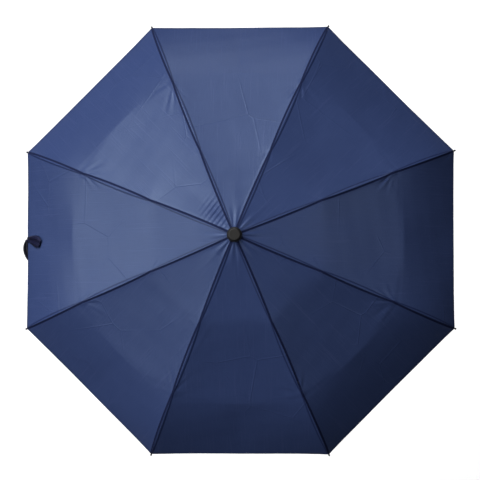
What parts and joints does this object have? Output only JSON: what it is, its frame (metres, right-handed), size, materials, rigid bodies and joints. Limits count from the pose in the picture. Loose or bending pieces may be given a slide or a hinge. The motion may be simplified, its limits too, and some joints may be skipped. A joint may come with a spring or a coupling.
{
  "type": "folding umbrella",
  "caption": "Compact folding umbrella shown open: navy octagonal cloth canopy on zigzag folding ribs, telescoping shaft, black grip and small round top cap.",
  "frame": {"origin": "middle of the straight part of the grip, on the shaft's axis", "axes": "+Z along the shaft from the grip to the top cap, +X and +Y square to flat sides of the open canopy, -X towards the side with the tie strap"},
  "size_m": [0.9048, 0.9048, 0.6001],
  "materials": {
    "grip": "fine matte moulded",
    "trim_plastic": "moulded",
    "hub_plastic": "moulded",
    "cap_plastic": "dark matte moulded",
    "shaft_steel": "plated steel tube",
    "spring_steel": "spring strip",
    "rib_steel": "zinc plated folded channel",
    "rib_aluminium": "folded channel",
    "fibre": "black glass-fibre rod with black tip cap and pressed ferrule",
    "wire": "drawn wire",
    "cloth": "navy pongee, fine plain weave",
    "strap_cloth": "navy pongee, folded and stitched"
  },
  "bodies": {
    "handle": {"handle_grip": "grip", "handle_end_cap": "trim_plastic", "handle_pin": "wire", "lower_tube": "shaft_steel"},
    "lower_lock": {"lower_lock": "spring_steel"},
    "middle_tube": {"middle_tube": "shaft_steel"},
    "middle_lock": {"middle_lock": "spring_steel"},
    "upper_tube": {"upper_tube": "shaft_steel", "crown": "hub_plastic", "crown_wire": "wire", "crown_pin": "wire", "cap_washer": "hub_plastic", "top_cap": "cap_plastic", "canopy": "cloth", "tie_strap": "strap_cloth"},
    "top_rib_1": {"top_rib_1": "rib_steel"},
    "stretcher_1": {"stretcher_1": "rib_steel"},
    "link_rod_1": {"link_rod_1": "wire"},
    "mid_rib_1": {"mid_rib_1": "rib_aluminium"},
    "outer_rib_1": {"outer_rib_1": "fibre"},
    "top_rib_2": {"top_rib_2": "rib_steel"},
    "stretcher_2": {"stretcher_2": "rib_steel"},
    "link_rod_2": {"link_rod_2": "wire"},
    "mid_rib_2": {"mid_rib_2": "rib_aluminium"},
    "outer_rib_2": {"outer_rib_2": "fibre"},
    "top_rib_3": {"top_rib_3": "rib_steel"},
    "stretcher_3": {"stretcher_3": "rib_steel"},
    "link_rod_3": {"link_rod_3": "wire"},
    "mid_rib_3": {"mid_rib_3": "rib_aluminium"},
    "outer_rib_3": {"outer_rib_3": "fibre"},
    "top_rib_4": {"top_rib_4": "rib_steel"},
    "stretcher_4": {"stretcher_4": "rib_steel"},
    "link_rod_4": {"link_rod_4": "wire"},
    "mid_rib_4": {"mid_rib_4": "rib_aluminium"},
    "outer_rib_4": {"outer_rib_4": "fibre"},
    "top_rib_5": {"top_rib_5": "rib_steel"},
    "stretcher_5": {"stretcher_5": "rib_steel"},
    "link_rod_5": {"link_rod_5": "wire"},
    "mid_rib_5": {"mid_rib_5": "rib_aluminium"},
    "outer_rib_5": {"outer_rib_5": "fibre"},
    "top_rib_6": {"top_rib_6": "rib_steel"},
    "stretcher_6": {"stretcher_6": "rib_steel"},
    "link_rod_6": {"link_rod_6": "wire"},
    "mid_rib_6": {"mid_rib_6": "rib_aluminium"},
    "outer_rib_6": {"outer_rib_6": "fibre"},
    "top_rib_7": {"top_rib_7": "rib_steel"},
    "stretcher_7": {"stretcher_7": "rib_steel"},
    "link_rod_7": {"link_rod_7": "wire"},
    "mid_rib_7": {"mid_rib_7": "rib_aluminium"},
    "outer_rib_7": {"outer_rib_7": "fibre"},
    "top_rib_8": {"top_rib_8": "rib_steel"},
    "stretcher_8": {"stretcher_8": "rib_steel"},
    "link_rod_8": {"link_rod_8": "wire"},
    "mid_rib_8": {"mid_rib_8": "rib_aluminium"},
    "outer_rib_8": {"outer_rib_8": "fibre"},
    "runner": {"runner": "hub_plastic", "runner_wire": "wire", "latch_pin": "wire"},
    "runner_latch": {"runner_latch": "trim_plastic"}
  },
  "joints": [
    {"name": "middle_tube_slide", "type": "slide", "parent": "handle", "child": "middle_tube", "axis": [0, 0, -1], "range_m": [0, 0.134], "deforming": ["lower_lock"]},
    {"name": "lower_lock_press", "type": "slide", "parent": "handle", "child": "lower_lock", "axis": [0, -1, 0], "range_m": [0, 0.001], "stiffness_N_per_m": 1500, "springref_m": -0.0005},
    {"name": "upper_tube_slide", "type": "slide", "parent": "middle_tube", "child": "upper_tube", "axis": [0, 0, -1], "range_m": [0, 0.15], "deforming": ["middle_lock"]},
    {"name": "middle_lock_press", "type": "slide", "parent": "middle_tube", "child": "middle_lock", "axis": [0, -1, 0], "range_m": [0, 0.001], "stiffness_N_per_m": 1500, "springref_m": -0.0005},
    {"name": "fold", "type": "hinge", "parent": "upper_tube", "child": "top_rib_1", "pos_m": [0.00924, 0.00383, 0.53], "axis": [-0.3827, 0.9239, 0], "range_deg": [0, 71], "deforming": ["canopy", "tie_strap"]},
    {"name": "stretcher_turn_1", "type": "hinge", "parent": "top_rib_1", "child": "stretcher_1", "pos_m": [0.08786, 0.03639, 0.5007], "axis": [-0.3827, 0.9239, 0], "range_deg": [-142, 0]},
    {"name": "link_turn_1", "type": "hinge", "parent": "stretcher_1", "child": "link_rod_1", "pos_m": [0.08873, 0.03675, 0.49477], "axis": [-0.3827, 0.9239, 0], "range_deg": [0, 144.18]},
    {"name": "mid_rib_turn_1", "type": "hinge", "parent": "top_rib_1", "child": "mid_rib_1", "pos_m": [0.1742, 0.07215, 0.48151], "axis": [-0.3827, 0.9239, 0], "range_deg": [-185, 0]},
    {"name": "outer_rib_turn_1", "type": "hinge", "parent": "mid_rib_1", "child": "outer_rib_1", "pos_m": [0.31689, 0.13126, 0.4103], "axis": [-0.3827, 0.9239, 0], "range_deg": [0, 166]},
    {"name": "fold_2", "type": "hinge", "parent": "upper_tube", "child": "top_rib_2", "pos_m": [0.00383, 0.00924, 0.53], "axis": [-0.9239, 0.3827, 0], "range_deg": [0, 71]},
    {"name": "stretcher_turn_2", "type": "hinge", "parent": "top_rib_2", "child": "stretcher_2", "pos_m": [0.03639, 0.08786, 0.5007], "axis": [-0.9239, 0.3827, 0], "range_deg": [-142, 0]},
    {"name": "link_turn_2", "type": "hinge", "parent": "stretcher_2", "child": "link_rod_2", "pos_m": [0.03675, 0.08873, 0.49477], "axis": [-0.9239, 0.3827, 0], "range_deg": [0, 144.18]},
    {"name": "mid_rib_turn_2", "type": "hinge", "parent": "top_rib_2", "child": "mid_rib_2", "pos_m": [0.07215, 0.1742, 0.48151], "axis": [-0.9239, 0.3827, 0], "range_deg": [-185, 0]},
    {"name": "outer_rib_turn_2", "type": "hinge", "parent": "mid_rib_2", "child": "outer_rib_2", "pos_m": [0.13126, 0.31689, 0.4103], "axis": [-0.9239, 0.3827, 0], "range_deg": [0, 166]},
    {"name": "fold_3", "type": "hinge", "parent": "upper_tube", "child": "top_rib_3", "pos_m": [-0.00383, 0.00924, 0.53], "axis": [-0.9239, -0.3827, 0], "range_deg": [0, 71]},
    {"name": "stretcher_turn_3", "type": "hinge", "parent": "top_rib_3", "child": "stretcher_3", "pos_m": [-0.03639, 0.08786, 0.5007], "axis": [-0.9239, -0.3827, 0], "range_deg": [-142, 0]},
    {"name": "link_turn_3", "type": "hinge", "parent": "stretcher_3", "child": "link_rod_3", "pos_m": [-0.03675, 0.08873, 0.49477], "axis": [-0.9239, -0.3827, 0], "range_deg": [0, 144.18]},
    {"name": "mid_rib_turn_3", "type": "hinge", "parent": "top_rib_3", "child": "mid_rib_3", "pos_m": [-0.07215, 0.1742, 0.48151], "axis": [-0.9239, -0.3827, 0], "range_deg": [-185, 0]},
    {"name": "outer_rib_turn_3", "type": "hinge", "parent": "mid_rib_3", "child": "outer_rib_3", "pos_m": [-0.13126, 0.31689, 0.4103], "axis": [-0.9239, -0.3827, 0], "range_deg": [0, 166]},
    {"name": "fold_4", "type": "hinge", "parent": "upper_tube", "child": "top_rib_4", "pos_m": [-0.00924, 0.00383, 0.53], "axis": [-0.3827, -0.9239, 0], "range_deg": [0, 71]},
    {"name": "stretcher_turn_4", "type": "hinge", "parent": "top_rib_4", "child": "stretcher_4", "pos_m": [-0.08786, 0.03639, 0.5007], "axis": [-0.3827, -0.9239, 0], "range_deg": [-142, 0]},
    {"name": "link_turn_4", "type": "hinge", "parent": "stretcher_4", "child": "link_rod_4", "pos_m": [-0.08873, 0.03675, 0.49477], "axis": [-0.3827, -0.9239, 0], "range_deg": [0, 144.18]},
    {"name": "mid_rib_turn_4", "type": "hinge", "parent": "top_rib_4", "child": "mid_rib_4", "pos_m": [-0.1742, 0.07215, 0.48151], "axis": [-0.3827, -0.9239, 0], "range_deg": [-185, 0]},
    {"name": "outer_rib_turn_4", "type": "hinge", "parent": "mid_rib_4", "child": "outer_rib_4", "pos_m": [-0.31689, 0.13126, 0.4103], "axis": [-0.3827, -0.9239, 0], "range_deg": [0, 166]},
    {"name": "fold_5", "type": "hinge", "parent": "upper_tube", "child": "top_rib_5", "pos_m": [-0.00924, -0.00383, 0.53], "axis": [0.3827, -0.9239, 0], "range_deg": [0, 71]},
    {"name": "stretcher_turn_5", "type": "hinge", "parent": "top_rib_5", "child": "stretcher_5", "pos_m": [-0.08786, -0.03639, 0.5007], "axis": [0.3827, -0.9239, 0], "range_deg": [-142, 0]},
    {"name": "link_turn_5", "type": "hinge", "parent": "stretcher_5", "child": "link_rod_5", "pos_m": [-0.08873, -0.03675, 0.49477], "axis": [0.3827, -0.9239, 0], "range_deg": [0, 144.18]},
    {"name": "mid_rib_turn_5", "type": "hinge", "parent": "top_rib_5", "child": "mid_rib_5", "pos_m": [-0.1742, -0.07215, 0.48151], "axis": [0.3827, -0.9239, 0], "range_deg": [-185, 0]},
    {"name": "outer_rib_turn_5", "type": "hinge", "parent": "mid_rib_5", "child": "outer_rib_5", "pos_m": [-0.31689, -0.13126, 0.4103], "axis": [0.3827, -0.9239, 0], "range_deg": [0, 166]},
    {"name": "fold_6", "type": "hinge", "parent": "upper_tube", "child": "top_rib_6", "pos_m": [-0.00383, -0.00924, 0.53], "axis": [0.9239, -0.3827, 0], "range_deg": [0, 71]},
    {"name": "stretcher_turn_6", "type": "hinge", "parent": "top_rib_6", "child": "stretcher_6", "pos_m": [-0.03639, -0.08786, 0.5007], "axis": [0.9239, -0.3827, 0], "range_deg": [-142, 0]},
    {"name": "link_turn_6", "type": "hinge", "parent": "stretcher_6", "child": "link_rod_6", "pos_m": [-0.03675, -0.08873, 0.49477], "axis": [0.9239, -0.3827, 0], "range_deg": [0, 144.18]},
    {"name": "mid_rib_turn_6", "type": "hinge", "parent": "top_rib_6", "child": "mid_rib_6", "pos_m": [-0.07215, -0.1742, 0.48151], "axis": [0.9239, -0.3827, 0], "range_deg": [-185, 0]},
    {"name": "outer_rib_turn_6", "type": "hinge", "parent": "mid_rib_6", "child": "outer_rib_6", "pos_m": [-0.13126, -0.31689, 0.4103], "axis": [0.9239, -0.3827, 0], "range_deg": [0, 166]},
    {"name": "fold_7", "type": "hinge", "parent": "upper_tube", "child": "top_rib_7", "pos_m": [0.00383, -0.00924, 0.53], "axis": [0.9239, 0.3827, 0], "range_deg": [0, 71]},
    {"name": "stretcher_turn_7", "type": "hinge", "parent": "top_rib_7", "child": "stretcher_7", "pos_m": [0.03639, -0.08786, 0.5007], "axis": [0.9239, 0.3827, 0], "range_deg": [-142, 0]},
    {"name": "link_turn_7", "type": "hinge", "parent": "stretcher_7", "child": "link_rod_7", "pos_m": [0.03675, -0.08873, 0.49477], "axis": [0.9239, 0.3827, 0], "range_deg": [0, 144.18]},
    {"name": "mid_rib_turn_7", "type": "hinge", "parent": "top_rib_7", "child": "mid_rib_7", "pos_m": [0.07215, -0.1742, 0.48151], "axis": [0.9239, 0.3827, 0], "range_deg": [-185, 0]},
    {"name": "outer_rib_turn_7", "type": "hinge", "parent": "mid_rib_7", "child": "outer_rib_7", "pos_m": [0.13126, -0.31689, 0.4103], "axis": [0.9239, 0.3827, 0], "range_deg": [0, 166]},
    {"name": "fold_8", "type": "hinge", "parent": "upper_tube", "child": "top_rib_8", "pos_m": [0.00924, -0.00383, 0.53], "axis": [0.3827, 0.9239, 0], "range_deg": [0, 71]},
    {"name": "stretcher_turn_8", "type": "hinge", "parent": "top_rib_8", "child": "stretcher_8", "pos_m": [0.08786, -0.03639, 0.5007], "axis": [0.3827, 0.9239, 0], "range_deg": [-142, 0]},
    {"name": "link_turn_8", "type": "hinge", "parent": "stretcher_8", "child": "link_rod_8", "pos_m": [0.08873, -0.03675, 0.49477], "axis": [0.3827, 0.9239, 0], "range_deg": [0, 144.18]},
    {"name": "mid_rib_turn_8", "type": "hinge", "parent": "top_rib_8", "child": "mid_rib_8", "pos_m": [0.1742, -0.07215, 0.48151], "axis": [0.3827, 0.9239, 0], "range_deg": [-185, 0]},
    {"name": "outer_rib_turn_8", "type": "hinge", "parent": "mid_rib_8", "child": "outer_rib_8", "pos_m": [0.31689, -0.13126, 0.4103], "axis": [0.3827, 0.9239, 0], "range_deg": [0, 166]},
    {"name": "runner_turn", "type": "hinge", "parent": "stretcher_1", "child": "runner", "pos_m": [0.00924, 0.00383, 0.4714], "axis": [-0.3827, 0.9239, 0], "range_deg": [0, 71]},
    {"name": "latch_press", "type": "hinge", "parent": "runner", "child": "runner_latch", "pos_m": [0.0094, 0, 0.4579], "axis": [0, 1, 0], "range_deg": [0, 7], "stiffness_Nm_per_rad": 0.6, "springref_deg": -6.88}
  ],
  "couplings": [
    {"joint": "stretcher_turn_1", "follows": "fold", "ratio": -2},
    {"joint": "link_turn_1", "follows": "fold", "ratio": 2.0307},
    {"joint": "mid_rib_turn_1", "follows": "fold", "ratio": -2.6056},
    {"joint": "outer_rib_turn_1", "follows": "fold", "ratio": 2.338},
    {"joint": "fold_2", "follows": "fold", "ratio": 1},
    {"joint": "stretcher_turn_2", "follows": "fold", "ratio": -2},
    {"joint": "link_turn_2", "follows": "fold", "ratio": 2.0307},
    {"joint": "mid_rib_turn_2", "follows": "fold", "ratio": -2.6056},
    {"joint": "outer_rib_turn_2", "follows": "fold", "ratio": 2.338},
    {"joint": "fold_3", "follows": "fold", "ratio": 1},
    {"joint": "stretcher_turn_3", "follows": "fold", "ratio": -2},
    {"joint": "link_turn_3", "follows": "fold", "ratio": 2.0307},
    {"joint": "mid_rib_turn_3", "follows": "fold", "ratio": -2.6056},
    {"joint": "outer_rib_turn_3", "follows": "fold", "ratio": 2.338},
    {"joint": "fold_4", "follows": "fold", "ratio": 1},
    {"joint": "stretcher_turn_4", "follows": "fold", "ratio": -2},
    {"joint": "link_turn_4", "follows": "fold", "ratio": 2.0307},
    {"joint": "mid_rib_turn_4", "follows": "fold", "ratio": -2.6056},
    {"joint": "outer_rib_turn_4", "follows": "fold", "ratio": 2.338},
    {"joint": "fold_5", "follows": "fold", "ratio": 1},
    {"joint": "stretcher_turn_5", "follows": "fold", "ratio": -2},
    {"joint": "link_turn_5", "follows": "fold", "ratio": 2.0307},
    {"joint": "mid_rib_turn_5", "follows": "fold", "ratio": -2.6056},
    {"joint": "outer_rib_turn_5", "follows": "fold", "ratio": 2.338},
    {"joint": "fold_6", "follows": "fold", "ratio": 1},
    {"joint": "stretcher_turn_6", "follows": "fold", "ratio": -2},
    {"joint": "link_turn_6", "follows": "fold", "ratio": 2.0307},
    {"joint": "mid_rib_turn_6", "follows": "fold", "ratio": -2.6056},
    {"joint": "outer_rib_turn_6", "follows": "fold", "ratio": 2.338},
    {"joint": "fold_7", "follows": "fold", "ratio": 1},
    {"joint": "stretcher_turn_7", "follows": "fold", "ratio": -2},
    {"joint": "link_turn_7", "follows": "fold", "ratio": 2.0307},
    {"joint": "mid_rib_turn_7", "follows": "fold", "ratio": -2.6056},
    {"joint": "outer_rib_turn_7", "follows": "fold", "ratio": 2.338},
    {"joint": "fold_8", "follows": "fold", "ratio": 1},
    {"joint": "stretcher_turn_8", "follows": "fold", "ratio": -2},
    {"joint": "link_turn_8", "follows": "fold", "ratio": 2.0307},
    {"joint": "mid_rib_turn_8", "follows": "fold", "ratio": -2.6056},
    {"joint": "outer_rib_turn_8", "follows": "fold", "ratio": 2.338},
    {"joint": "runner_turn", "follows": "fold", "ratio": 1}
  ]
}
